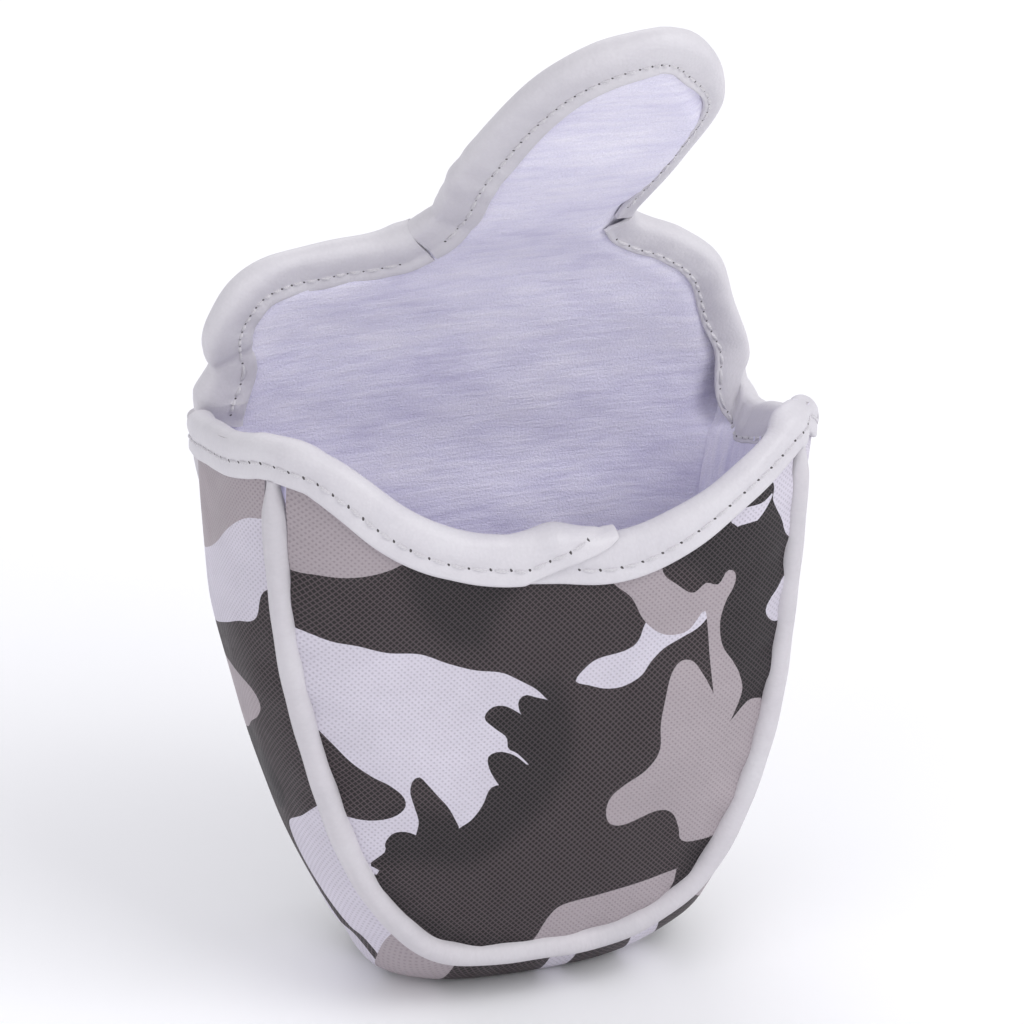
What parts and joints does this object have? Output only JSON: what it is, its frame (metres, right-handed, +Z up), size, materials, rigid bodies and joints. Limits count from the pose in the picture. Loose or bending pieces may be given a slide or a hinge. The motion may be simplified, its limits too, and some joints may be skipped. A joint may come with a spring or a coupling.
{
  "type": "putter head cover",
  "caption": "Padded mallet putter head cover: an open quilted pocket with piped seams, a bound mouth and a magnetic closing flap.",
  "frame": {"origin": "middle of the flattened patch under the gusset that the cover stands on", "axes": "+Z up from the base through the mouth, -Y towards the front panel, +X to the right of someone facing the front"},
  "size_m": [0.137, 0.0764, 0.229],
  "materials": {
    "camo_leather": "coated synthetic leather with a fine crosshatch emboss, printed in four-tone camouflage",
    "white_strip": "smooth off-white synthetic leather strip, satin",
    "plush": "short brushed white plush with a faint lilac shade",
    "foam": "open-cell padding foam",
    "cord": "twisted filler cord",
    "magnet": "nickel-plated disc"
  },
  "bodies": {
    "cover": {"front_panel": "camo_leather", "front_padding": "foam", "front_lining": "plush", "back_panel": "camo_leather", "back_padding": "foam", "back_lining": "plush", "gusset_panel": "camo_leather", "gusset_padding": "foam", "gusset_lining": "plush", "front_magnet": "magnet", "front_piping_cover": "white_strip", "front_piping_cord": "cord", "back_piping_cover": "white_strip", "back_piping_cord": "cord", "rim_binding_left": "white_strip", "rim_binding_right": "white_strip"},
    "flap": {"flap_panel": "camo_leather", "flap_padding": "foam", "flap_lining": "plush", "left_shoulder_binding": "white_strip", "left_flap_binding": "white_strip", "right_flap_binding": "white_strip"},
    "flap_tip": {"flap_tip_panel": "camo_leather", "flap_tip_padding": "foam", "flap_tip_lining": "plush", "flap_magnet": "magnet", "flap_tip_binding": "white_strip"}
  },
  "joints": [
    {"name": "flap_fold", "type": "hinge", "parent": "cover", "child": "flap", "pos_m": [0, 0.0185, 0.1354], "axis": [0.995, 0, -0.0995], "range_deg": [-12, 47], "stiffness_Nm_per_rad": 0.08},
    {"name": "tip_fold", "type": "hinge", "parent": "flap", "child": "flap_tip", "pos_m": [0.013, -0.0097, 0.1871], "axis": [1, 0, 0], "range_deg": [-10, 72], "stiffness_Nm_per_rad": 0.05}
  ]
}
